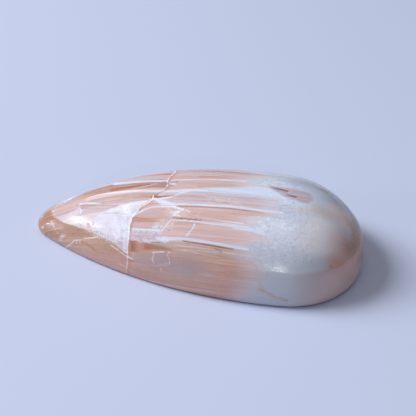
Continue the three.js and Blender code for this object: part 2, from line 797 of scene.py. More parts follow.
@dataclass(frozen=True)
class Fracture:
    """The crack that runs across the stone and parts the tip from the body.

    Attributes:
        line: where it runs.
        rims: the broken edges beside it.
        seam: how the tip turns into the body, by how far past the crack a place is.
        darker_side: how much deeper salmon the stone just past it is, by how far past it is.
        lip_middle: the fan angle where its white lip is boldest.
        lip_half: half of the lip's width, by how far off that angle it is.
        ragged: the pattern that makes the lip ragged, and how far it moves its edge.
        lip_edge: how the lip fades over its edge, in millimetres.
        lip_share: how much of the lip shows, by the fan angle.
        chalky: where the lip is chalk and no longer cream, by the crumbly grain.
    """

    line: Divide = Divide((
        (-70, -7.6), (-56, -7.5), (-44, -7.6), (-36, -7.7), (-30, -7.7), (-26, -7.6), (-23.6, -7.4),
        (-21.4, -7.0), (-19.5, -6.8), (-17.7, -6.3), (-16.1, -5.8), (-13.6, -5.35), (-11.2, -5.4),
        (-8.8, -5.05), (-6.8, -4.3), (-2.4, -4.0), (2.2, -4.15), (5.7, -4.1), (10.6, -3.8), (14.8, -3.5),
        (26, -3.9), (40, -4.8), (60, -4.2),
    ), 0.1)
    rims: tuple[Mark, ...] = (
        Vein(((-5.35, -12.2), (-4.5, -11.9), (-2.9, -10.9)), (0.5, 0.1), Tint.BURNT_ORANGE, 1.0, 0.1,
             0.1),
        Vein(((-4.0, -2.6), (-3.3, -1.2), (-3.7, 0.6), (-3.0, 2.0)), (0.3, 0.2), Tint.BROWN, 0.7, 0.08,
             0.6, 0.5, True),
        Vein(((-4.1, -1.8), (-3.0, -0.6), (-3.9, 1.0)), (0.14, 0.14), Tint.CHALK, 1.0, 0.05, 0.2, 0.3,
             True),
        Vein(((-5.2, -10.6), (-4.95, -8.9)), (0.2, 0.14), Tint.BROWN, 0.8),
        Vein(((-7.3, -21.4), (-6.75, -18.3), (-6.0, -16.4), (-5.6, -14.2)), (0.5, 0.4), Tint.CREAM, 0.9,
             0.06, 0.5, 0.7, True),
        Vein(((-7.0, -20.9), (-6.5, -18.1), (-5.75, -16.2), (-5.3, -14.6)), (0.26, 0.16), Tint.OCHRE,
             0.95, 0.06, 0.3, 0.6, True),
        Vein(((-5.9, -17.2), (-4.7, -16.8)), (0.3, 0.2), Tint.DEEP_SALMON, 0.6),
        Patch(((-5.3, -14.0), (-4.1, -14.4), (-3.2, -16.2), (-2.4, -18.3), (-4.2, -17.6)), Tint.CHALK,
              0.85),
        Vein(((-5.3, -13.9), (-3.9, -13.4), (-3.1, -11.5), (-2.2, -8.8), (-1.4, -7.4)), (0.34, 0.1)),
        Vein(((-7.35, -24.3), (-6.9, -22.7), (-6.1, -20.4), (-5.2, -19.1), (-2.6, -18.9)), (0.26, 0.12)),
        Vein(((-7.7, -33.0), (-8.0, -36.0), (-8.1, -39.5), (-8.1, -45.0)), (0.16, 0.12)),
        Vein(((-9.7, -43.4), (-8.8, -46.6), (-8.0, -49.7), (-6.9, -52.2)), (0.16, 0.22), Tint.CREAM,
             0.85),
        Vein(((-6.9, -48.0), (-6.8, -50.0)), (0.1, 0.08), Tint.CREAM),
        Vein(((-8.4, -57.3), (-7.4, -60.4), (-6.8, -62.8)), (0.1, 0.08), Tint.CREAM, 0.6),
    )
    seam: Slope = Slope(-0.04, 0.04)
    darker_side: Slope = Slope(0.7, 0.1, 0.0, 0.85)
    lip_middle: float = -28.0
    lip_half: Slope = Slope(6.0, 16.0, 0.14, 0.06)
    ragged: tuple[Noise, float] = (Noise(1.3, 5.0, 0.8), 0.5)
    lip_edge: float = 0.05
    lip_share: Slope = Slope(-46.0, -35.0, 0.3, 0.92)
    chalky: Slope = Slope(0.42, 0.54)

    def show(
        self, bench: MarkBench, place: Place, past: NodeSocket, colour: NodeSocket
    ) -> NodeSocket:
        """Paints the darker inner side of the crack, its white lip and its broken edges.

        Args:
            bench: the shader's nodes.
            place: where the colour is read.
            past: how far past the crack the place is.
            colour: the colour below.

        Returns:
            The colour with the crack in it.
        """
        behind = bench.math("GREATER_THAN", past, 0.0)
        darker = bench.times(self.darker_side.at(bench, past), behind)
        colour = bench.blend(darker, colour, Tint.DEEP_SALMON)
        colour = paint(bench, place, colour, self.rims)
        half = self.lip_half.at(bench, bench.off(place.fan, self.lip_middle))
        pattern, reach = self.ragged
        wild = bench.stray(pattern.at(bench, place.point), reach)
        rim = bench.math("SUBTRACT", bench.math("ABSOLUTE", past), bench.math("ADD", half, wild))
        lip = bench.ease(rim, self.lip_edge, -self.lip_edge, 0.0, self.lip_share.at(bench, place.fan))
        lip_tint = bench.blend(self.chalky.at(bench, place.speck), Tint.CREAM, Tint.CHALK)
        return bench.blend(lip, colour, lip_tint)


@dataclass(frozen=True)
class TipBlock:
    """The stone before the crack: pink streaks above, a satin patch and an amber flank.

    The satin patch's whiteness is partly painted sheen, and the cream along the crest next to it is
    partly painted highlight.

    Attributes:
        layers: the lamellae of its top.
        marks: what lies over them.
        flank_line: where the amber flank begins.
        flank_layers: the lamellae of the flank.
        flank_marks: what lies over them.
        flank_seam: how the flank turns into the top, in millimetres past its line.
        patch_top: the upper edge of the satin patch.
        patch_width: how wide the white line along that edge is at its start and end.
        patch_marks: the faint veins in the patch.
        patch_side: how the patch fades in below its upper edge, in degrees.
        patch_start: where along the stone it begins.
        pink_grain: how much pale pink shows in it, by the fibrous grain.
        chalk_grain: how much chalk shows in it, by the fibrous grain.
        clouds: the pattern of its white clouds, partly painted satin sheen, and where they show.
        cloud_share: how much of the clouds shows, by the place along the stone.
        crumbs: how much lavender shows, by the crumbly grain.
        crumbs_below: where the crumbs set in, by the fan angle.
        frost: the pattern of the frost at its lower edge.
        frost_reach: how near that edge the frost is, in millimetres, with its middle before it.
        frost_round: the fan angle of the frost's middle, and how far off that it reaches.
        frost_dark: how much smoke shows, by the frost's pattern.
        frost_bright: how much cream shows, by the frost's pattern.
    """

    # The cream layer between -25 and -19 degrees is partly painted highlight along the crest near the tip.
    layers: Lamellae = Lamellae((
        (-80, Tint.DUSKY_ROSE), (-62, Tint.TIP_ROSE), (-25, Tint.CREAM), (-19, Tint.PALE_PINK),
        (-13.8, Tint.TIP_ROSE), (-8.5, Tint.PEARL), (-4.6, Tint.DUSKY_ROSE), (5, Tint.PALE_PINK),
        (10, Tint.DEEP_SALMON), (13, Tint.SALMON), (24, Tint.CREAM), (27, Tint.ROSE), (44, Tint.HONEY),
        (60, Tint.DUSKY_ROSE),
    ), seam=0.9)
    marks: tuple[Mark, ...] = (
        Patch(((-17.6, -8.4), (-13.6, -7.8), (-13.6, -3.4), (-17.8, -3.6)), Tint.TIP_ROSE, 0.8, 0.3),
        # Pale frost on the far edge of the tip, partly painted highlight.
        Stain(-16.2, 2.6, (2.6, 7.0), Tint.GLEAM, 0.7, 0.5, 0.6, 0.8, True),
        Vein(((-15.5, 0.5), (-14.9, 1.9), (-14.4, 4.5)), (0.2, 0.4), Tint.DEEP_SALMON, 0.6, 0.2),
        Vein(((-14.2, 3.6), (-12.1, 1.2), (-10.4, -1.5)), (0.8, 0.9), Tint.DEEP_SALMON, 0.5, 0.35),
        Patch(((-11.5, -1.2), (-9.7, -0.4), (-6.3, 0.1), (-5.5, 0.5), (-6.7, -1.8), (-7.7, -3.5),
               (-10.0, -4.4), (-12.0, -3.4)), Tint.DEEP_SALMON, 1.0),
        Vein(((-10.6, -2.2), (-8.4, -1.9), (-6.2, -0.6)), (0.5, 0.2), Tint.BURNT_ORANGE, 0.9, 0.14),
        Vein(((-10.4, 5.2), (-9.6, 4.2), (-8.8, 3.7), (-6.8, 3.3), (-5.0, 3.0), (-4.2, 3.5)), (0.7, 0.4)),
        Vein(((-8.8, -5.2), (-7.6, -3.9), (-6.6, -2.2), (-5.4, -0.4)), (0.12, 0.1), Tint.CREAM, 0.8),
        Vein(((-6.8, -10.4), (-5.5, -12.0)), (0.3, 0.5), Tint.DEEP_SALMON, 0.6, 0.2),
        Vein(((-9.0, -10.6), (-6.6, -12.2)), (0.14, 0.1), Tint.DUSKY_ROSE, 0.4),
        Vein(((-14.2, -9.1), (-13.3, -10.2), (-12.4, -11.7), (-11.6, -13.2)), (0.24, 0.14)),
        Vein(((-14.1, -10.9), (-11.5, -14.6), (-9.0, -17.0)), (0.1, 0.08), Tint.DUSKY_ROSE, 0.7),
        Vein(((-14.1, -13.2), (-11.5, -16.6), (-10.4, -17.6)), (0.16, 0.1), Tint.DUSKY_ROSE, 0.35, 0.1),
        Patch(((-15.7, -14.9), (-14.2, -12.4), (-14.0, -17.2), (-14.8, -17.2)), Tint.SATIN, 0.6),
        Vein(((-15.4, -14.4), (-14.2, -12.5), (-13.95, -14.7), (-14.0, -17.1)), (0.08, 0.16), Tint.CHALK,
             1.0),
        Patch(((-14.8, -18.8), (-14.0, -18.2), (-13.8, -20.6)), Tint.DUSKY_ROSE, 0.4),
        # Cream along the crest between the highlight and the satin patch: partly white stone, partly
        # painted highlight.
        Patch(((-15.0, -18.4), (-11.9, -19.8), (-11.7, -30.0), (-12.6, -32.6), (-14.2, -28.0),
               (-15.6, -23.4)), Tint.CREAM, 0.6, 0.4),
        Patch(((-14.4, -20.4), (-11.9, -20.6), (-11.7, -31.0), (-13.6, -29.0)), Tint.PALE_PINK, 0.8, 0.3,
              1.0),
    )
    flank_line: Divide = Divide((
        (-70, -7.0), (-50, -7.2), (-47, -8.2), (-42.5, -9.2), (-39.8, -9.9), (-37.9, -10.8),
        (-35.7, -11.5), (-33.4, -12.2), (-32.1, -12.6), (-28.5, -13.9), (-25.1, -15.0), (-21.4, -16.1),
        (-16.7, -17.0), (-12.7, -17.7), (-6.6, -18.0), (-0.5, -17.9), (6, -17.2), (14, -16.4),
        (24, -14.6), (36, -11.5), (50, -8.5), (70, -7.0),
    ), 0.5)
    # The dusky rose below -68 degrees is a thin dark line along the foot of the wall: painted contact
    # shade.
    flank_layers: Lamellae = Lamellae((
        (-80, Tint.DUSKY_ROSE), (-68, Tint.WALL_ROSE), (-51, Tint.HONEY), (-37, Tint.AMBER),
        (-25, Tint.HONEY), (-20, Tint.AMBER), (-2, Tint.HONEY), (20, Tint.AMBER), (40, Tint.HONEY),
        (60, Tint.ROSE),
    ), seam=7.0)
    flank_marks: tuple[Mark, ...] = (
        Stain(-19.2, -12.0, (1.8, 16.0), Tint.AMBER, 0.7),
        Patch(((-15.9, -23.8), (-13.9, -28.6), (-12.8, -32.0), (-12.6, -35.6), (-13.5, -37.9),
               (-14.6, -37.6), (-15.9, -32.0)), Tint.AMBER, 0.7, 0.4),
        Stain(-14.0, -34.0, (1.2, 4.5), Tint.AMBER, 0.7),
        Stain(-17.7, -19.8, (0.8, 4.6), Tint.CREAM, 0.6, 0.6),
        Vein(((-18.4, -18.9), (-17.7, -20.4), (-17.0, -21.6)), (0.2, 0.08), Tint.CREAM, 0.9, 0.06, 0.6,
             0.6, True),
        Vein(((-17.8, -16.7), (-17.6, -20.5), (-17.3, -25.0)), (0.16, 0.08), Tint.CREAM, 0.9, 0.06, 0.6,
             0.6, True),
        Vein(((-18.4, -17.2), (-17.7, -19.9)), (0.08, 0.12), Tint.BROWN, 0.6, 0.06, 0.5, 0.5, True),
        Vein(((-17.4, -25.0), (-16.7, -32.7)), (0.1, 0.1), Tint.CREAM, 0.3),
        Stain(-18.95, -21.5, (0.35, 2.2), Tint.CREAM, 0.9),
        Stain(-19.35, -5.7, (0.35, 3.0), Tint.CREAM, 0.7),
        Stain(-16.0, -35.8, (0.7, 3.0), Tint.CREAM, 0.75),
        Stain(-16.3, -39.6, (0.5, 2.4), Tint.CREAM, 0.5),
        Vein(((-15.6, -48.6), (-14.8, -44.0), (-14.4, -40.6), (-13.6, -39.8), (-12.9, -38.6),
              (-12.1, -37.9), (-11.2, -36.6)), (0.16, 0.2), Tint.CREAM, 0.85),
        Vein(((-14.1, -40.5), (-14.0, -43.8)), (0.1, 0.08), Tint.CREAM, 0.8),
        Vein(((-13.75, -40.4), (-13.6, -43.6)), (0.1, 0.06), Tint.CREAM, 0.8),
        Vein(((-13.5, -41.9), (-12.9, -43.2), (-12.1, -46.2), (-11.5, -49.2)), (0.4, 0.16),
             Tint.BURNT_ORANGE, 0.6, 0.16),
        Stain(-10.6, -50.0, (2.4, 5.0), Tint.DUSKY_ROSE, 0.45),
        Stain(-9.8, -55.0, (5.0, 8.0), Tint.DUSKY_ROSE, 0.45, 0.4),
        Vein(((-10.0, -60.1), (-8.3, -61.2), (-7.4, -63.0)), (0.12, 0.1), Tint.CREAM, 0.5),
        Stain(-8.7, -59.2, (0.9, 1.6), Tint.OCHRE, 0.6),
    )
    patch_top: tuple[Spot, ...] = (
        (-12.1, -27.0), (-12.0, -23.4), (-11.8, -21.8), (-11.0, -19.4), (-10.2, -18.2), (-9.0, -16.5),
        (-8.0, -15.8), (-7.0, -15.2), (-5.2, -14.0),
    )
    patch_marks: tuple[Mark, ...] = (
        Vein(((-11.1, -20.0), (-9.7, -21.2), (-8.0, -22.8)), (0.16, 0.12), Tint.TAUPE, 0.7),
        Vein(((-10.4, -22.2), (-8.0, -24.6)), (0.12, 0.2), Tint.TAUPE, 0.4),
        Patch(((-9.4, -42.6), (-8.5, -40.4), (-8.2, -41.0), (-8.1, -47.2), (-8.8, -46.0)), Tint.TAUPE,
              0.75),
    )
    flank_seam: Slope = Slope(-0.18, 0.18)
    patch_width: tuple[float, float] = (0.12, 0.16)
    patch_side: Slope = Slope(-0.2, 0.4)
    patch_start: Slope = Slope(-13.6, -11.7)
    pink_grain: Slope = Slope(0.5, 0.64, 0.0, 0.7)
    chalk_grain: Slope = Slope(0.5, 0.36, 0.0, 0.8)
    clouds: tuple[Noise, Slope] = (Noise(0.9, 3.0, 0.6), Slope(0.4, 0.6))
    cloud_share: Slope = Slope(-11.5, -8.0, 0.15, 0.95)
    crumbs: Slope = Slope(0.48, 0.38, 0.0, 0.4)
    crumbs_below: Slope = Slope(-20.0, -34.0)
    frost: Noise = Noise(6.0, 2.0, 0.7)
    frost_reach: tuple[float, Slope] = (0.3, Slope(1.3, 0.4))
    frost_round: tuple[float, Slope] = (-37.5, Slope(7.0, 4.0))
    frost_dark: Slope = Slope(0.52, 0.42, 0.0, 0.8)
    frost_bright: Slope = Slope(0.54, 0.62, 0.0, 0.8)

    def colour(self, bench: MarkBench, place: Place) -> NodeSocket:
        """Paints the tip block.

        Args:
            bench: the shader's nodes.
            place: where the colour is read.

        Returns:
            The colour there.
        """
        top = paint(bench, place, self.layers.colour(bench, place), self.marks)
        top = bench.blend(self.patch_share(bench, place), top, self.satin(bench, place))
        top = paint(bench, place, top, [Vein(self.patch_top[1:], self.patch_width)])
        flank = paint(bench, place, self.flank_layers.colour(bench, place), self.flank_marks)
        past = self.flank_line.past(bench, place)
        colour = bench.blend(self.flank_seam.at(bench, past), flank, top)
        return self.frosted_edge(bench, place, past, colour)

    def patch_share(self, bench: MarkBench, place: Place) -> NodeSocket:
        """Measures how much of the satin patch shows.

        Args:
            bench: the shader's nodes.
            place: where the colour is read.

        Returns:
            The share, from 0 to 1.
        """
        corners = [(ALONG.share(along), FAN.share(fan)) for along, fan in self.patch_top]
        line = bench.curve(ALONG.share_node(bench, place.along), corners)
        top = bench.math("MULTIPLY_ADD", line, FAN.high - FAN.low, FAN.low)
        below = self.patch_side.at(bench, bench.math("SUBTRACT", top, place.fan))
        return bench.times(below, self.patch_start.at(bench, place.along))

    def satin(self, bench: MarkBench, place: Place) -> NodeSocket:
        """Paints the satin patch: a white veil, partly painted satin sheen, with a faint pink grain.

        Args:
            bench: the shader's nodes.
            place: where the colour is read.

        Returns:
            The colour there.
        """
        veil = bench.blend(self.pink_grain.at(bench, place.grain), Tint.SATIN, Tint.PALE_PINK)
        veil = bench.blend(self.chalk_grain.at(bench, place.grain), veil, Tint.CHALK)
        pattern, shown = self.clouds
        clouds = shown.at(bench, pattern.at(bench, place.point))
        veil = bench.blend(bench.times(clouds, self.cloud_share.at(bench, place.along)), veil, Tint.GLEAM)
        crumbly = bench.times(self.crumbs.at(bench, place.speck), self.crumbs_below.at(bench, place.fan))
        veil = bench.blend(crumbly, veil, Tint.LAVENDER)
        return paint(bench, place, veil, self.patch_marks)

    def frosted_edge(
        self, bench: MarkBench, place: Place, past: NodeSocket, colour: NodeSocket
    ) -> NodeSocket:
        """Speckles the lower edge of the satin patch with frost.

        Args:
            bench: the shader's nodes.
            place: where the colour is read.
            past: how far past the edge the place is.
            colour: the colour below.

        Returns:
            The colour with the frost.
        """
        (middle, reach), (fan, spread) = self.frost_reach, self.frost_round
        near_edge = reach.at(bench, bench.off(past, middle))
        share = bench.times(near_edge, spread.at(bench, bench.off(place.fan, fan)))
        specks = self.frost.at(bench, place.point)
        colour = bench.blend(bench.times(share, self.frost_dark.at(bench, specks)), colour, Tint.SMOKE)
        return bench.blend(bench.times(share, self.frost_bright.at(bench, specks)), colour, Tint.CREAM)


@dataclass(frozen=True)
class BodyBlock:
    """The stone past the crack: salmon bars between white streaks, over a rose wall.

    Attributes:
        layers: the lamellae.
        marks: what lies over them.
    """

    # The dusky rose below -70 degrees is a thin dark line along the foot of the wall: painted contact
    # shade.
    layers: Lamellae = Lamellae((
        (-80, Tint.DUSKY_ROSE), (-70, Tint.WALL_ROSE), (-46.0, Tint.BEIGE), (-38.8, Tint.BLOOM),
        (-29.5, Tint.SALMON), (-17.8, Tint.PALE_PINK), (-6.9, Tint.ROSE), (7.2, Tint.SALMON),
        (9.4, Tint.ORCHID), (15.9, Tint.DEEP_SALMON), (17.6, Tint.ROSE), (29, Tint.CREAM),
        (31, Tint.SALMON), (41, Tint.CHALK), (43, Tint.ROSE), (56, Tint.BEIGE),
    ), seam=0.6)
    marks: tuple[Mark, ...] = (
        Stain(-5.6, -22.2, (3.6, 3.4), Tint.TAUPE, 0.9),
        Patch(((-7.5, -25.0), (-7.2, -24.8), (-5.9, -25.9), (-4.2, -26.8), (-4.1, -28.2), (-5.8, -28.3),
               (-7.5, -27.8)), Tint.DEEP_SALMON, 0.85),
        Vein(((-7.4, -24.9), (-5.9, -25.9), (-4.3, -26.4)), (0.12, 0.08), Tint.BURNT_ORANGE, 0.8),
        Vein(((-7.6, -29.8), (-4.3, -30.0)), (0.5, 0.5), Tint.PALE_PINK, 0.7, 0.14),
        Vein(((-7.5, -31.1), (-5.0, -31.3)), (0.1, 0.08), Tint.DEEP_SALMON, 0.8),
        Patch(((-7.6, -33.2), (-3.8, -34.0), (-3.6, -39.0), (-5.0, -40.4), (-7.5, -39.6)), Tint.LAVENDER,
              0.95),
        Patch(((-7.6, -33.0), (-3.8, -33.8), (-3.4, -39.6), (-5.0, -40.6), (-7.5, -39.8)), Tint.GLEAM,
              0.65, 0.3, 1.0, mottled=True),
        Patch(((-6.8, -33.6), (-4.8, -34.4), (-4.4, -38.6), (-6.8, -38.8)), Tint.DUSKY_ROSE, 0.45, 0.5,
              1.0),
        Patch(((-4.6, -27.2), (-2.4, -26.6), (-2.8, -33.4), (-5.4, -33.2)), Tint.CREAM, 0.75, 0.3, 1.0,
              mottled=True),
        Patch(((-3.6, -19.6), (-0.9, -20.0), (-1.0, -25.4), (-3.6, -25.6)), Tint.CREAM, 0.55, 0.3, 1.0,
              mottled=True),
        Patch(((0.6, -10.6), (4.4, -10.2), (4.8, -14.6), (1.0, -15.0)), Tint.CREAM, 0.6, 0.4, 1.0,
              mottled=True),
        Patch(((-3.4, -37.6), (4.4, -40.6), (5.4, -43.4), (-3.2, -42.0)), Tint.CREAM, 0.2, 0.3, 1.0,
              mottled=True),
        Vein(((-4.9, -40.1), (-3.2, -39.8)), (0.1, 0.06), Tint.BROWN, 0.7),
        Patch(((-7.7, -39.3), (-6.6, -39.6), (-6.3, -46.9), (-7.6, -47.4)), Tint.BURNT_ORANGE, 1.0),
        Patch(((-6.9, -40.0), (-4.8, -41.2), (-4.8, -45.2), (-6.6, -47.2)), Tint.DEEP_SALMON, 0.95, 0.3),
        Patch(((-5.7, -41.0), (-4.4, -41.6), (-3.4, -42.4), (-2.0, -44.2), (-4.0, -44.7), (-5.6, -44.9)),
              Tint.BURNT_ORANGE, 0.7, 0.16),
        Patch(((-7.6, -47.6), (-2.6, -45.2), (-2.0, -53.0), (-4.0, -57.0), (-7.5, -52.6)), Tint.SMOKE,
              0.8, 0.3),
        Stain(-1.0, -53.4, (4.4, 12.0), Tint.SMOKE, 0.8, 0.4),
        Vein(((-6.8, -55.8), (-5.2, -55.6), (-3.9, -54.4), (-2.8, -52.8)), (0.4, 0.3), Tint.LAVENDER, 0.6,
             0.16),
        Patch(((-7.65, -52.4), (-6.8, -53.0), (-6.6, -54.3), (-7.55, -54.8)), Tint.BURNT_ORANGE, 0.95),
        Vein(((-6.9, -53.5), (-5.2, -53.9)), (0.2, 0.06), Tint.OCHRE, 0.8),
        Stain(1.8, -56.3, (1.4, 1.6), Tint.LAVENDER, 0.6),
        Patch(((-3.6, 32.0), (1.6, 33.0), (2.4, 36.4), (-3.4, 37.4)), Tint.DEEP_SALMON, 0.6, 0.3),
        Vein(((-3.8, 47.0), (-0.6, 48.6), (3.4, 47.6)), (0.3, 0.14), Tint.BURNT_ORANGE, 0.5, 0.14),
        Patch(((-4.6, 52.0), (0.2, 54.0), (1.0, 62.0), (-4.2, 64.0)), Tint.SMOKE, 0.6, 0.5),
        Vein(((-4.6, -46.5), (-4.0, -46.1), (-3.4, -45.4)), (0.16, 0.14)),
        Vein(((-4.42, -47.0), (-4.52, -50.4), (-4.4, -53.3)), (0.14, 0.08), Tint.CREAM),
        Vein(((-2.6, -45.1), (-2.85, -47.1), (-2.55, -50.0), (-2.5, -53.1)), (0.12, 0.06), Tint.CREAM,
             0.75),
        Vein(((-3.5, -56.3), (-3.4, -58.3)), (0.12, 0.08), Tint.CREAM),
        Vein(((-1.2, -38.3), (0.1, -38.8), (1.8, -39.5), (4.4, -40.6)), (0.16, 0.2), Tint.BURNT_ORANGE,
             0.9),
        Stain(-5.4, -58.0, (4.0, 8.0), Tint.DUSKY_ROSE, 0.6, 0.4),
        Vein(((0.6, -41.0), (4.6, -41.9)), (0.06, 0.1), Tint.DEEP_SALMON, 0.7),
        Vein(((2.4, -41.2), (3.1, -42.6)), (0.1, 0.16), Tint.BROWN, 0.7),
        Vein(((-2.2, -41.0), (1.9, -41.8), (4.6, -43.2)), (0.1, 0.06), Tint.CREAM, 0.6),
        Vein(((-2.3, -43.9), (-0.5, -43.8), (1.9, -45.2), (4.4, -46.6)), (0.1, 0.1), Tint.CREAM, 0.6),
        Vein(((-3.2, -43.8), (-0.6, -44.6), (1.9, -46.0), (4.6, -46.4)), (0.3, 0.2), Tint.OCHRE, 0.6,
             0.12, 0.9, 1.0, True),
        Vein(((-0.4, 8.2), (1.1, 8.9), (2.6, 9.5)), (0.32, 0.14), Tint.DEEP_SALMON, 0.85, 0.14),
        Vein(((-0.4, -2.3), (3.5, 0.3)), (0.08, 0.06), Tint.DUSKY_ROSE, 0.7),
        Vein(((-4.0, -6.3), (-2.6, -5.9)), (0.1, 0.06), Tint.DUSKY_ROSE, 0.8),
        Vein(((-2.4, -18.9), (0.2, -18.5), (3.2, -18.1), (6.6, -18.6), (8.4, -20.2)), (0.14, 0.16),
             Tint.DUSKY_ROSE, 0.9),
        Vein(((-2.7, -25.8), (-1.6, -25.9), (-0.7, -26.3), (0.5, -26.5)), (0.12, 0.18), Tint.BURNT_ORANGE,
             0.95, 0.06, 0.8, 0.6, True),
        Vein(((-1.5, -26.5), (-1.1, -26.6)), (0.14, 0.14), Tint.CHALK, 1.0),
        Vein(((-3.4, -31.6), (-3.2, -31.9)), (0.16, 0.1), Tint.BROWN, 0.7),
        Vein(((-3.05, -32.6), (-2.9, -32.8)), (0.16, 0.1), Tint.BROWN, 0.7),
    )

    def colour(self, bench: MarkBench, place: Place) -> NodeSocket:
        """The colour of the body block at a place."""
        return paint(bench, place, self.layers.colour(bench, place), self.marks)


@dataclass(frozen=True)
class ClearEnd:
    """The round end: clear, frosty stone with warm stains.

    Attributes:
        edge: where the pink lamellae end.
        marks: the stains and veins in it, with painted soft highlight and painted shade.
        dome_middle: the fan angle where it is palest and its painted sky sheen is strongest.
        frost_and_sheen: how pale it is, by how far off that angle a place is: partly frosty stone,
            partly painted sky sheen over the top of the dome.
        clouds: the pattern of its clouds, and how they thin the pale colour.
        near_fibres: where the crystals show, by the place along the stone.
        in_clouds: how much of them the clouds let through.
        crystals: the pattern of the crystals.
        crystal_glints: how much gleam shows, by that pattern: pale crystals with painted sparkle.
        dark_crystals: how much mist shows, by that pattern.
        shade_start: where the shade towards the far side sets in along the stone.
        shade_round: how deep it is, by the fan angle.
        hair: the pattern that frays the ends of the lamellae, and how far, in millimetres.
        haze: how chalky the lamellae get before they end, by how far past their end a place is.
        seam: how they turn into the clear stone.
        wall: where the wall is, by the height over the flat back.
        warm_end: how warm and pale the wall gets, by the place along the stone: partly its own
        colour, partly painted reflection of the floor.
    """

    edge: Divide = Divide((
        (-72, 5.8), (-62, 7.0), (-55, 7.6), (-48, 7.3), (-45, 6.3), (-41, 6.5), (-38.6, 5.4),
        (-36.2, 6.2), (-34.8, 7.7), (-32, 7.8), (-29.4, 5.8), (-26.2, 6.2), (-25.2, 6.2), (-21.4, 6.6),
        (-21.0, 8.4), (-17.5, 8.8), (-12, 8.6), (-7, 8.8), (-2, 7.6), (3, 6.0), (8, 4.8), (14, 7.6),
        (24, 6.6), (38, 7.8), (55, 6.4),
    ), 2.6)
    marks: tuple[Mark, ...] = (
        Stain(11.4, 12.0, (3.6, 9.0), Tint.MIST, 0.8),
        # Painted soft highlight: a faint gleam over the middle of the frosty dome.
        Stain(9.4, -29.0, (4.4, 15.0), Tint.GLEAM, 0.4, 0.5, 0.1, 0.4),
        Stain(9.4, -16.0, (3.4, 9.0), Tint.MIST, 0.55, 0.5, 0.1, 0.4),
        # Painted soft highlight: peach and near-white that brighten the top of the round end.
        Stain(16.9, -7.0, (3.4, 15.0), Tint.PEACH, 1.0, 0.4, 0.1, 0.4),
        Stain(14.6, -26.0, (3.6, 18.0), Tint.MILK, 1.0, 0.4, 0.1, 0.4),
        Stain(12.8, -33.0, (3.0, 11.0), Tint.MILK, 0.6, 0.5, 0.1, 0.4),
        Stain(13.8, -11.0, (3.0, 6.5), Tint.TAN, 0.6, 0.5, 0.1, 0.4),
        Stain(11.5, -14.0, (2.6, 4.0), Tint.TAN, 0.4),
        # Rust stains over the crest at the round end; they are also painted shade, darker where the dome
        # turns away from the light above the crease.
        Stain(17.3, -31.5, (3.6, 22.0), Tint.RUSSET, 1.0, 0.58, 0.1, 0.3),
        Stain(16.2, -41.0, (2.6, 9.0), Tint.RUSSET, 0.9, 0.5, 0.1, 0.3),
        Stain(17.7, -27.0, (1.8, 12.0), Tint.RUST, 0.5, 0.5, 0.1, 0.3),
        # Rust, ochre and umber along the far rim: stains, and also painted shade where the rim turns away
        # from the light.
        Stain(18.8, -14.0, (1.6, 24.0), Tint.RUST, 0.95, 0.4, 0.1, 0.3),
        Stain(17.9, -7.5, (1.4, 9.0), Tint.OCHRE, 0.5, 0.5, 0.1, 0.3),
        Stain(18.6, 5.0, (1.8, 20.0), Tint.UMBER, 0.95, 0.5, 0.1, 0.3),
        Stain(17.4, 15.0, (2.0, 13.0), Tint.UMBER, 0.8, 0.5, 0.1, 0.3),
        Stain(14.5, 11.5, (1.4, 3.0), Tint.UMBER, 0.6, 0.5, 0.1, 0.3),
        Patch(((7.8, 4.4), (11.0, 4.4), (12.6, 2.4), (12.9, -3.0), (12.4, -7.4), (11.4, -7.4),
               (9.6, -4.8), (8.6, -0.6)), Tint.BLUSH, 0.9, 0.24, 0.3, 0.5),
        Vein(((7.8, 4.0), (9.0, 2.2), (9.8, 1.2)), (0.14, 0.4), Tint.BROWN, 0.85, 0.1),
        Vein(((9.8, -1.8), (10.8, -3.6)), (0.16, 0.36), Tint.BROWN, 0.8, 0.1),
        Vein(((4.3, -45.4), (6.1, -46.1), (6.8, -47.6), (7.2, -49.4)), (0.16, 0.2), Tint.OCHRE, 0.9, 0.1,
             0.8),
        Vein(((7.2, -49.4), (7.3, -53.0), (7.8, -58.0), (8.2, -62.5)), (0.16, 0.14), Tint.OCHRE, 0.6, 0.1,
             0.6),
        Vein(((7.6, -60.6), (8.3, -62.3), (9.5, -64.6), (10.9, -66.9)), (0.34, 0.3), Tint.OCHRE, 0.75,
             0.16, 0.5, 0.8, True),
        Stain(15.4, -43.6, (0.45, 1.8), Tint.OCHRE, 1.0),
        Stain(17.6, -48.5, (2.0, 8.0), Tint.BEIGE, 0.7, 0.5, 0.1, 0.3),
        Vein(((7.0, 44.0), (8.4, 50.0), (9.8, 58.0)), (0.2, 0.12), Tint.OCHRE, 0.6, 0.1, 0.8, 0.6, True),
        Stain(14.0, 36.0, (2.4, 7.0), Tint.TAN, 0.5),
    )
    dome_middle: float = -12.0
    frost_and_sheen: Slope = Slope(42.0, 8.0)
    clouds: tuple[Noise, Slope] = (Noise(0.35, 3.0), Slope(0.35, 0.65, 0.6, 1.0))
    near_fibres: Slope = Slope(15.0, 8.0, 0.1, 1.0)
    in_clouds: Slope = Slope(0.6, 1.0, 0.4, 1.0)
    crystals: Noise = Noise(3.6, 4.0, 0.8, (0.4, 0.8, 0.8))
    crystal_glints: Slope = Slope(0.5, 0.6, 0.0, 0.85)
    dark_crystals: Slope = Slope(0.48, 0.38, 0.0, 0.65)
    shade_start: Slope = Slope(9.0, 14.0)
    shade_round: Slope = Slope(-16.0, 6.0, 0.0, 0.5)
    hair: tuple[Noise, float] = (Noise(1.6, 3.0, 0.7), 4.0)
    haze: Slope = Slope(-3.2, 0.0, 0.0, 0.35)
    seam: Slope = Slope(-1.2, 1.4)
    wall: Slope = Slope(4.7, 4.1)
    warm_end: Slope = Slope(10.0, 16.0, 0.0, 0.9)

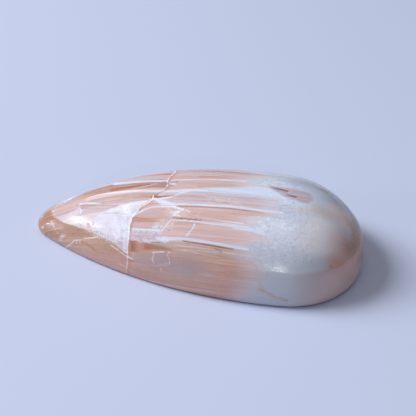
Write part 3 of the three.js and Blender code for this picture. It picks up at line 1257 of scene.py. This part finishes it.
    def show(self, bench: MarkBench, place: Place, colour: NodeSocket) -> NodeSocket:
        """Lays the clear stone over the ends of the lamellae.

        Args:
            bench: the shader's nodes.
            place: where the colour is read.
            colour: the colour of the lamellae.

        Returns:
            The colour with the clear end.
        """
        past = self.edge.past(bench, place)
        ice = paint(bench, place, self.ice(bench, place), self.marks)
        pattern, reach = self.hair
        frayed = bench.math("ADD", past, bench.stray(pattern.at(bench, place.fibre), reach))
        colour = bench.blend(self.haze.at(bench, past), colour, Tint.CHALK)
        return bench.blend(self.seam.at(bench, frayed), colour, ice)

    def ice(self, bench: MarkBench, place: Place) -> NodeSocket:
        """The colour of the clear stone without its marks.

        Args:
            bench: the shader's nodes.
            place: where the colour is read.

        Returns:
            The colour there.
        """
        frost_and_sheen = self.frost_and_sheen.at(bench, bench.off(place.fan, self.dome_middle))
        pattern, thinned = self.clouds
        clouds = thinned.at(bench, pattern.at(bench, place.point))
        # Paler frost towards the top of the dome: partly frosty stone, partly painted sky sheen.
        ice = bench.blend(bench.times(frost_and_sheen, clouds), Tint.ICE, Tint.FROST)
        near_fibres = bench.times(self.near_fibres.at(bench, place.along), frost_and_sheen)
        near_fibres = bench.times(near_fibres, self.in_clouds.at(bench, clouds))
        crystals = self.crystals.at(bench, place.point)
        # Pale crystals, partly painted sparkle, then dark ones.
        bright = bench.times(self.crystal_glints.at(bench, crystals), near_fibres)
        ice = bench.blend(bright, ice, Tint.GLEAM)
        dark = bench.times(self.dark_crystals.at(bench, crystals), near_fibres)
        ice = bench.blend(dark, ice, Tint.MIST)
        shade = bench.times(self.shade_start.at(bench, place.along), self.shade_round.at(bench, place.fan))
        ice = bench.blend(shade, ice, Tint.MIST)
        # Warm, paler wall at the round end: partly its own colour, partly painted reflection of the floor.
        warm = bench.times(self.wall.at(bench, place.height), self.warm_end.at(bench, place.along))
        return bench.blend(warm, ice, Tint.BLUSH_PEARL)


@dataclass(frozen=True)
class Measures:
    """The measures along and round the stone, and the grain that follows them.

    Attributes:
        axis_depth: how far below the flat back the axis of the fan lies, in millimetres.
        waver: the pattern that the lamellae wander by, and how far they do, in degrees.
        drawn_fibres: how much slower the fibres change along the stone and up than round it.
        grain: the fibrous pattern.
        tear: how far the grain tears a patch along the fibres, in millimetres.
        shake: the pattern that the marks are shaken by, and how far along the stone, in millimetres.
        speck: the crumbly pattern.
    """

    axis_depth: float = 3.0
    waver: tuple[Noise, float] = (Noise(0.3, 3.0), 1.0)
    drawn_fibres: tuple[float, float] = (0.12, 0.2)
    grain: Noise = Noise(0.75, 5.0, 0.8)
    tear: float = 1.6
    shake: tuple[Noise, float] = (Noise(1.3, 3.0, 0.6), 0.36)
    speck: Noise = Noise(3.8, 4.0, 0.8, (0.5, 1.0, 1.0))

    def place(self, bench: MarkBench) -> Place:
        """Works out where a point of the stone is.

        Args:
            bench: the shader's nodes.

        Returns:
            The measures as sockets.
        """
        at_object = bench.add("ShaderNodeTexCoord").outputs["Object"]
        point = bench.vector_math("SCALE", at_object, scale=1 / MM)
        along, across, height = bench.split(point)
        above_axis = bench.math("ADD", height, self.axis_depth)
        fan = bench.math("DEGREES", bench.math("ARCTAN2", across, above_axis))
        slow_along, slow_up = self.drawn_fibres
        fibre = bench.vector(bench.times(along, slow_along), fan, bench.times(above_axis, slow_up))
        grain = self.grain.at(bench, fibre)
        (waves, waver), (shakes, shake) = self.waver, self.shake
        wavy = bench.math("ADD", fan, bench.stray(waves.at(bench, fibre), waver))
        shaken = bench.math("ADD", along, bench.stray(shakes.at(bench, point), shake))
        torn = bench.math("ADD", along, bench.stray(grain, self.tear))
        level = bench.times(wavy, MM_PER_DEGREE)
        chart, torn_chart = bench.vector(shaken, level, 0.0), bench.vector(torn, level, 0.0)
        speck = self.speck.at(bench, point)
        return Place(point, along, height, wavy, fibre, chart, torn_chart, grain, speck)


@dataclass(frozen=True)
class Polish:
    """The gloss of the stone and the fine relief in it.

    Attributes:
        roughness: the roughness of the best polished places.
        fibres: the pattern of the fibres.
        fibre_relief: how far they stand out, in millimetres.
        dull_fibres: how much duller the raised fibres are.
        pits: the pattern of the pits, and how deep in one a place is.
        pit_depth: how deep they are, in millimetres.
        dull_pits: how much duller they are.
        frost: the pattern of the frost on the round end.
        frost_relief: how uneven it is, in millimetres.
        frost_along: where it sets in and ends along the stone.
        frost_round: where it sets in and how it thins out round the stone.
        dull_back: how much duller the flat back is, by the height over it.
        dull_flank: how much duller the tip's flank is.
        flank: where that flank is, by the height and by the place along the stone.
    """

    roughness: float = 0.1
    fibres: Noise = Noise(2.2, 3.0, 0.6)
    fibre_relief: float = 0.004
    dull_fibres: Slope = Slope(0.35, 0.65, 0.0, 0.1)
    pits: tuple[Noise, Slope] = (Noise(2.6, 3.0, 0.6), Slope(0.6, 0.72))
    pit_depth: float = 0.02
    dull_pits: float = 0.3
    frost: Noise = Noise(2.4, 4.0, 0.7, (0.6, 1.0, 1.0))
    frost_relief: float = 0.08
    frost_along: tuple[Slope, Slope] = (Slope(4.0, 8.0), Slope(17.0, 12.0))
    frost_round: tuple[Slope, Slope] = (Slope(-50.0, -42.0), Slope(6.0, -10.0, 0.2, 1.0))
    dull_back: Slope = Slope(0.1, 0.02, 0.0, 0.3)
    dull_flank: float = 0.22
    flank: tuple[Slope, Slope] = (Slope(4.2, 3.0), Slope(-8.0, -12.0))

    def lay(self, bench: MarkBench, place: Place, shader: Node) -> None:
        """Gives the polish its faint fibres, pits and frost, and leaves some places duller.

        Args:
            bench: the shader's nodes.
            place: where the surface is read.
            shader: the stone's shader.
        """
        fibres = self.fibres.at(bench, place.fibre)
        pattern, depth = self.pits
        pits = depth.at(bench, pattern.at(bench, place.point))
        bench.feed(shader.inputs["Normal"], self.relief(bench, place, fibres, pits))
        low, at_tip = self.flank
        flank = bench.times(low.at(bench, place.height), at_tip.at(bench, place.along))
        dull = bench.math("MULTIPLY_ADD", pits, self.dull_pits, self.dull_back.at(bench, place.height))
        dull = bench.math("MULTIPLY_ADD", flank, self.dull_flank, dull)
        rough = bench.math("ADD", self.dull_fibres.at(bench, fibres), self.roughness)
        bench.feed(shader.inputs["Roughness"], bench.math("ADD", rough, dull))

    def relief(self, bench: MarkBench, place: Place, fibres: NodeSocket, pits: NodeSocket) -> NodeSocket:
        """Lays out the fine relief.

        Args:
            bench: the shader's nodes.
            place: where the surface is read.
            fibres: the pattern of the fibres there.
            pits: how deep in a pit the place is.

        Returns:
            The surface's direction with the relief.
        """
        frost = bench.times(*(slope.at(bench, place.along) for slope in self.frost_along))
        for slope in self.frost_round:
            frost = bench.times(frost, slope.at(bench, place.fan))
        crumbs = bench.times(self.frost.at(bench, place.point), self.frost_relief)
        height = bench.math("MULTIPLY_ADD", pits, -self.pit_depth, bench.times(fibres, self.fibre_relief))
        height = bench.math("MULTIPLY_ADD", frost, crumbs, height)
        bump = bench.add("ShaderNodeBump")
        bench.feed(bump.inputs["Height"], height)
        bump.inputs["Distance"].default_value = MM
        return bump.outputs["Normal"]


@dataclass(frozen=True)
class ScoleciteFinish:
    """Polished scolecite: fanned pink and white lamellae that end in clear, frosty stone.

    Attributes:
        name: the material's name.
        refraction: how strongly the stone bends light.
        depth_light: how much of the light comes back from inside the stone.
        depth_reach: how far that light gets in millimetres, and red, green and blue as shares of it.
        polish: its gloss and fine relief.
        measures: the measures that the pattern is laid out in.
        fracture: the crack across the stone.
        tip: the stone before the crack.
        body: the stone past it.
        clear_end: the round end.
        white_streaks: the streaks that lie over the rest.
        cross_cracks: the hairline cracks.
    """

    name: str = "polished_scolecite"
    refraction: float = 1.51
    depth_light: float = 0.2
    depth_reach: tuple[float, tuple[float, float, float]] = (0.3, (1.0, 0.6, 0.5))
    polish: Polish = Polish()
    measures: Measures = Measures()
    fracture: Fracture = Fracture()
    tip: TipBlock = TipBlock()
    body: BodyBlock = BodyBlock()
    clear_end: ClearEnd = ClearEnd()
    white_streaks: tuple[Mark, ...] = (
        Vein(((-13.2, -5.4), (-12.6, -4.5), (-11.4, -5.0), (-9.4, -6.0), (-7.8, -6.4), (-5.7, -7.2),
              (-3.9, -7.4), (-2.1, -6.8), (0.6, -5.6)), (0.14, 0.45), Tint.CHALK, 1.0),
        # A broad blue-white streak: partly white fibres, partly painted sky reflection.
        Patch(((-2.9, -7.0), (-1.1, -4.3), (1.0, -2.1), (3.6, 0.0), (5.9, 2.6), (8.0, 2.2), (9.4, -3.8),
               (10.8, -7.8), (3.7, -7.0), (1.0, -6.9)), Tint.SKY, 1.0, 0.3, 0.4),
        Vein(((-3.8, 3.6), (-2.4, 4.4), (-1.0, 5.0), (0.8, 5.7), (2.4, 6.3), (5.0, 7.0)), (0.18, 0.2)),
        Vein(((-4.2, -15.7), (-2.5, -17.0), (-0.4, -17.1), (1.3, -16.9), (3.1, -16.6), (5.4, -17.0),
              (7.7, -17.4), (9.4, -17.5)), (0.2, 0.34)),
        Vein(((-1.7, -25.1), (0.1, -24.8), (1.5, -25.3), (3.7, -26.0), (5.2, -26.4)), (0.12, 0.16)),
        Vein(((-2.9, -26.7), (-1.6, -27.0), (0.2, -27.5), (1.8, -27.9), (3.4, -28.0), (5.6, -28.9),
              (7.4, -30.2)), (0.12, 0.5)),
        Vein(((-7.75, -31.9), (-6.1, -32.4), (-4.1, -33.1)), (0.28, 0.24), Tint.CHALK, 1.0),
        Vein(((-3.5, -37.2), (-1.3, -36.9), (0.4, -37.4), (1.8, -38.1), (4.7, -39.4), (6.0, -39.8)),
             (0.4, 0.26)),
        Patch(((-4.0, -38.4), (-3.4, -36.8), (-2.7, -38.2), (-3.3, -40.6)), Tint.CHALK, 0.85),
        Stain(-4.5, -31.0, (0.5, 2.0), Tint.CHALK, 0.8),
        Vein(((-2.9, -19.2), (-2.2, -19.9), (-1.7, -20.6)), (0.26, 0.14), Tint.GLEAM, 0.9, 0.05, 0.4, 0.4,
             True),
        Vein(((-1.7, -20.8), (-2.2, -22.1), (-2.6, -23.3)), (0.14, 0.34), Tint.GLEAM, 0.9, 0.05, 0.4, 0.4,
             True),
        Vein(((-2.6, -23.7), (-2.2, -24.2), (-1.8, -24.9)), (0.28, 0.16), Tint.GLEAM, 0.9, 0.05, 0.4, 0.4,
             True),
        Vein(((-1.3, -20.7), (-0.9, -21.6)), (0.16, 0.1)),
        Vein(((-3.0, -22.4), (-2.2, -23.0)), (0.12, 0.14)),
    )
    cross_cracks: tuple[Mark, ...] = (
        Vein(((-3.0, -27.7), (-3.3, -30.2), (-3.75, -33.3)), (0.18, 0.14), Tint.CHALK, 1.0, 0.04, 0.0),
        Vein(((-3.7, -28.5), (-4.0, -32.4)), (0.12, 0.08), Tint.CREAM, 0.7),
        Vein(((-0.8, 19.6), (-1.1, 23.4), (-0.7, 27.0)), (0.12, 0.08), Tint.CREAM, 0.8),
        Vein(((2.4, 33.4), (2.0, 37.6), (2.3, 40.4)), (0.14, 0.1), Tint.CHALK, 0.8),
        Vein(((-0.1, -28.2), (-0.4, -31.8), (-0.95, -35.6)), (0.14, 0.16), Tint.CHALK, 1.0, 0.04, 0.0),
        Vein(((0.2, -21.3), (0.0, -23.6), (0.1, -25.0)), (0.05, 0.1), Tint.CREAM, 0.6),
    )

    def dress(self) -> Material:
        """Builds the material.

        Returns:
            The new material.
        """
        material = bpy.data.materials.new(self.name)
        material.use_nodes = True
        bench = MarkBench(material.node_tree)
        place = self.measures.place(bench)
        shader = bench.add("ShaderNodeBsdfPrincipled")
        self.polish.lay(bench, place, shader)
        reach, shares = self.depth_reach
        shader.inputs["IOR"].default_value = self.refraction
        shader.inputs["Subsurface Weight"].default_value = self.depth_light
        shader.inputs["Subsurface Radius"].default_value = shares
        shader.inputs["Subsurface Scale"].default_value = reach * MM
        bench.feed(shader.inputs["Base Color"], self.colour(bench, place))
        output = bench.add("ShaderNodeOutputMaterial")
        bench.feed(output.inputs["Surface"], shader.outputs["BSDF"])
        return material

    def colour(self, bench: MarkBench, place: Place) -> NodeSocket:
        """Paints the stone.

        Args:
            bench: the shader's nodes.
            place: where the colour is read.

        Returns:
            The colour there.
        """
        past = self.fracture.line.past(bench, place)
        on_body = self.fracture.seam.at(bench, past)
        colour = bench.blend(on_body, self.tip.colour(bench, place), self.body.colour(bench, place))
        colour = self.clear_end.show(bench, place, colour)
        colour = paint(bench, place, colour, self.white_streaks)
        colour = self.fracture.show(bench, place, past, colour)
        return paint(bench, place, colour, self.cross_cracks)


@dataclass(frozen=True)
class Chip:
    """A small piece that has broken away beside the crack.

    Attributes:
        along: its place along the stone, in millimetres.
        fan: its fan angle in degrees.
        reach: how far it spreads, in millimetres.
        depth: how deep it is in the middle, in millimetres.
    """

    along: float
    fan: float
    reach: float
    depth: float

    def sink(self, along: float, fan: float) -> float:
        """How far the surface is sunk at a place, in millimetres."""
        away = math.hypot(along - self.along, (fan - self.fan) * MM_PER_DEGREE) / self.reach
        return self.depth * max(1 - away * away, 0.0)


@dataclass(frozen=True)
class CrackRelief:
    """The crack as a shallow groove with a sunken ledge on the side of the tip.

    Attributes:
        line: where the crack runs.
        groove_depth: how deep the groove is, in millimetres.
        groove_half: half of its width, in millimetres.
        ledge_depth: how far the surface before it is sunk, in millimetres.
        ledge_width: how far the ledge reaches, in millimetres.
        foot: the heights between which the crack runs out, in millimetres.
        chips: the broken places beside it.
        margin: how far beyond the ledge's width the faces are still halved, in millimetres.
        cuts: how many times each edge is cut there.
    """

    line: Divide
    groove_depth: float = 0.015
    groove_half: float = 0.1
    ledge_depth: float = 0.04
    ledge_width: float = 1.0
    foot: tuple[float, float] = (0.4, 1.4)
    chips: tuple[Chip, ...] = (
        Chip(-4.6, -11.8, 0.42, 0.07), Chip(-5.1, -9.7, 0.3, 0.06), Chip(-3.8, -0.2, 0.4, 0.07),
        Chip(-4.0, 4.4, 0.25, 0.05), Chip(-5.6, -15.4, 0.3, 0.05), Chip(-7.7, -47.0, 0.3, 0.05),
    )
    margin: float = 0.2
    cuts: int = 3

    def cut(self, stone: Object, axis_depth: float) -> None:
        """Halves the faces along the crack and sinks its groove and ledge.

        Args:
            stone: the active piece.
            axis_depth: how far below the flat back the axis of the fan lies, in millimetres.
        """
        bpy.ops.object.mode_set(mode="EDIT")
        bpy.ops.mesh.select_mode(type="FACE")
        bpy.ops.mesh.select_all(action="DESELECT")
        bpy.ops.object.mode_set(mode="OBJECT")
        reach = self.ledge_width + self.margin
        for face in stone.data.polygons:
            along, fan, height = measured(face.center, axis_depth)
            face.select = abs(along - self.line.along_at(fan)) < reach and height > self.foot[0]
        bpy.ops.object.mode_set(mode="EDIT")
        bpy.ops.mesh.subdivide(number_cuts=self.cuts, smoothness=0.0)
        bpy.ops.object.mode_set(mode="OBJECT")
        sunk = stone.vertex_groups.new(name="sunk")
        for corner in stone.data.vertices:
            depth = self.depth(*measured(corner.co, axis_depth))
            if depth > 0:
                sunk.add([corner.index], depth, "REPLACE")
        press = stone.modifiers.new("crack", "DISPLACE")
        press.vertex_group = sunk.name
        press.mid_level = 0.0
        press.strength = -MM
        bpy.ops.object.modifier_apply(modifier=press.name)
        stone.vertex_groups.clear()

    def depth(self, along: float, fan: float, height: float) -> float:
        """How far the surface is sunk at a place.

        Args:
            along: its place along the stone, in millimetres.
            fan: its fan angle in degrees.
            height: its height over the flat back, in millimetres.

        Returns:
            The depth in millimetres.
        """
        past = along - self.line.along_at(fan)
        groove = self.groove_depth * math.exp(-((past / self.groove_half) ** 2))
        ledge = self.ledge_depth * (1 - smooth(-past / self.ledge_width)) if past < 0 else 0.0
        chips = sum(chip.sink(along, fan) for chip in self.chips)
        low, high = self.foot
        return (max(groove, ledge) + chips) * smooth((height - low) / (high - low))


def measured(place: Vector, axis_depth: float) -> tuple[float, float, float]:
    """The place along the stone, the fan angle and the height of a place in the mesh."""
    along, across, height = place / MM
    return along, math.degrees(math.atan2(across, height + axis_depth)), height


def smooth(share: float) -> float:
    """Eases a share from 0 to 1."""
    share = min(max(share, 0.0), 1.0)
    return share * share * (3 - 2 * share)


@dataclass
class Cabochon:
    """The whole stone: one cut and polished pear with a flat back.

    Attributes:
        node: the CAD node that this piece stands for.
        weld: how far apart two corners may be and still be one, in metres.
        pairing: how far two triangles may lean, and their four-sided face be askew, in degrees.
        refinement: how many times the faces are halved.
        finish: the stone's material.
    """

    node: str = "cabochon"
    weld: float = 0.002 * MM
    pairing: tuple[float, float] = (60.0, 70.0)
    refinement: int = 2
    finish: ScoleciteFinish = field(default_factory=ScoleciteFinish)

    def build(self) -> Object:
        """Makes the fine stone round the CAD solid.

        Returns:
            The finished piece.
        """
        stone = self.copy_of_solid()
        self.weld_and_square()
        self.refine(stone)
        CrackRelief(self.finish.fracture.line).cut(stone, self.finish.measures.axis_depth)
        stone.data.materials.clear()
        stone.data.materials.append(self.finish.dress())
        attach(stone, "root")
        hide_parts(self.node)
        return stone

    def copy_of_solid(self) -> Object:
        """Copies the CAD solid as a free object with its own mesh.

        Returns:
            The copy, selected and active.
        """
        bpy.ops.object.select_all(action="DESELECT")
        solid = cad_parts[self.node]
        solid.select_set(True)
        bpy.context.view_layer.objects.active = solid
        bpy.ops.object.duplicate()
        stone = bpy.context.view_layer.objects.active
        stone.parent = None
        for key in [key for key in stone.keys() if key.startswith("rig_")]:
            del stone[key]
        stone.name = "scolecite_stone"
        stone.data.name = "scolecite_stone"
        return stone

    def weld_and_square(self) -> None:
        """Joins the loose triangles and pairs them into four-sided faces."""
        bpy.ops.object.mode_set(mode="EDIT")
        bpy.ops.mesh.select_all(action="SELECT")
        bpy.ops.mesh.remove_doubles(threshold=self.weld)
        lean, askew = (math.radians(angle) for angle in self.pairing)
        bpy.ops.mesh.tris_convert_to_quads(face_threshold=lean, shape_threshold=askew)
        bpy.ops.mesh.normals_make_consistent(inside=False)
        bpy.ops.object.mode_set(mode="OBJECT")

    def refine(self, stone: Object) -> None:
        """Rounds the facets off.

        Args:
            stone: the piece.
        """
        smoother = stone.modifiers.new("rounding", "SUBSURF")
        smoother.levels = smoother.render_levels = self.refinement
        bpy.ops.object.modifier_apply(modifier=smoother.name)
        bpy.ops.object.shade_smooth()


def bearing(azimuth: float, elevation: float) -> Vector:
    """The direction at an azimuth from +Y towards +X and an elevation, both in degrees."""
    turn, rise = math.radians(azimuth), math.radians(elevation)
    return Vector((math.sin(turn) * math.cos(rise), math.cos(turn) * math.cos(rise), math.sin(rise)))


@dataclass(frozen=True)
class Window:
    """A soft rectangle of daylight that faces the stone.

    Attributes:
        name: the light's name.
        azimuth: its direction from the stone, in degrees from +Y towards +X.
        elevation: its height above the floor, in degrees.
        distance: how far it is from the stone.
        width: its width.
        height: its height.
        watts: its power.
        mirrored: whether its mirror image shows on polished stone.
        hue: its colour.
    """

    name: str
    azimuth: float
    elevation: float
    distance: float
    width: float
    height: float
    watts: float
    mirrored: bool = True
    hue: tuple[float, float, float] = (0.93, 0.97, 1.0)

    def hang(self) -> None:
        """Adds the light to the scene."""
        lamp = bpy.data.lights.new(self.name, "AREA")
        lamp.shape = "RECTANGLE"
        lamp.size = self.width
        lamp.size_y = self.height
        lamp.energy = self.watts
        lamp.color = self.hue
        light = bpy.data.objects.new(self.name, lamp)
        bpy.context.scene.collection.objects.link(light)
        away = bearing(self.azimuth, self.elevation)
        light.location = away * self.distance
        light.rotation_euler = (-away).to_track_quat("-Z", "Y").to_euler()
        light.visible_glossy = self.mirrored


@dataclass
class Studio:
    """A pale floor, soft light and the camera.

    Attributes:
        floor_side: the side of the square floor.
        target: where the camera's axis meets the floor.
        azimuth: how far the camera's view is turned to the left of straight ahead, in degrees.
        elevation: how far the camera looks down, in degrees.
        roll: how far it leans, in degrees.
        distance: how far it is from the target.
        field_of_view: across the square picture, in degrees.
        nearest: how near to the camera things still show.
        floor_roughness: how dull the floor is.
        sky: the colour of the room's own light, and its strength.
        windows: the window lights.
    """

    floor_side: float = 4.0
    target: tuple[float, float, float] = (0.417 * MM, 7.668 * MM, 0.0)
    azimuth: float = -3.364
    elevation: float = 36.0
    roll: float = 4.0
    distance: float = 96.856 * MM
    field_of_view: float = 31.576
    nearest: float = 0.005
    floor_roughness: float = 0.7
    sky: tuple[tuple[float, float, float], float] = ((0.95, 0.97, 1.0), 0.125)
    windows: tuple[Window, ...] = (
        Window("ceiling", 0, 90, 0.7, 0.7, 0.7, 0.95),
        Window("high_window", -84, 38, 0.9, 0.4, 0.4, 9.3, mirrored=False),
        Window("low_window", -109.5, 15, 0.36, 0.085, 0.038, 0.17),
        Window("small_pane", 173, 28.8, 0.5, 0.011, 0.011, 0.11),
    )

    def build(self) -> None:
        """Sets up the studio."""
        self.lay_floor()
        self.hang_lights()
        self.place_camera()
        bpy.context.scene.view_settings.view_transform = "Standard"

    def lay_floor(self) -> None:
        """Lays the pale floor just under the stone."""
        bpy.ops.object.select_all(action="DESELECT")
        bpy.ops.mesh.primitive_plane_add(size=self.floor_side, location=(0, 0, 0))
        floor = bpy.context.object
        floor.name = "floor"
        material = bpy.data.materials.new("pale_floor")
        material.use_nodes = True
        shader = material.node_tree.nodes["Principled BSDF"]
        shader.inputs["Base Color"].default_value = (*Tint.FLOOR.value, 1.0)
        shader.inputs["Roughness"].default_value = self.floor_roughness
        floor.data.materials.append(material)

    def hang_lights(self) -> None:
        """Hangs the window lights and sets the sky."""
        world = bpy.data.worlds.new("soft_room")
        bpy.context.scene.world = world
        world.use_nodes = True
        background = world.node_tree.nodes["Background"]
        hue, strength = self.sky
        background.inputs["Color"].default_value = (*hue, 1.0)
        background.inputs["Strength"].default_value = strength
        for window in self.windows:
            window.hang()

    def place_camera(self) -> None:
        """Places the camera at the picture's viewpoint."""
        roll = math.radians(self.roll)
        ahead = bearing(self.azimuth, -self.elevation)
        level_right = bearing(self.azimuth + 90, 0)
        level_up = level_right.cross(ahead)
        right = level_right * math.cos(roll) + level_up * math.sin(roll)
        up = level_up * math.cos(roll) - level_right * math.sin(roll)
        turn = Matrix((right, up, -ahead)).transposed()
        lens = bpy.data.cameras.new("camera")
        lens.angle = math.radians(self.field_of_view)
        lens.clip_start = self.nearest
        camera = bpy.data.objects.new("camera", lens)
        bpy.context.scene.collection.objects.link(camera)
        place = Vector(self.target) - ahead * self.distance
        camera.matrix_world = Matrix.Translation(place) @ turn.to_4x4()
        bpy.context.scene.camera = camera


def main() -> None:
    """Builds the stone and the studio."""
    logging.basicConfig(level=logging.INFO, format="%(name)s: %(message)s")
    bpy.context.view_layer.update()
    stone = Cabochon().build()
    LOG.info("%s: %d faces", stone.name, len(stone.data.polygons))
    Studio().build()


if __name__ == "__main__":
    main()
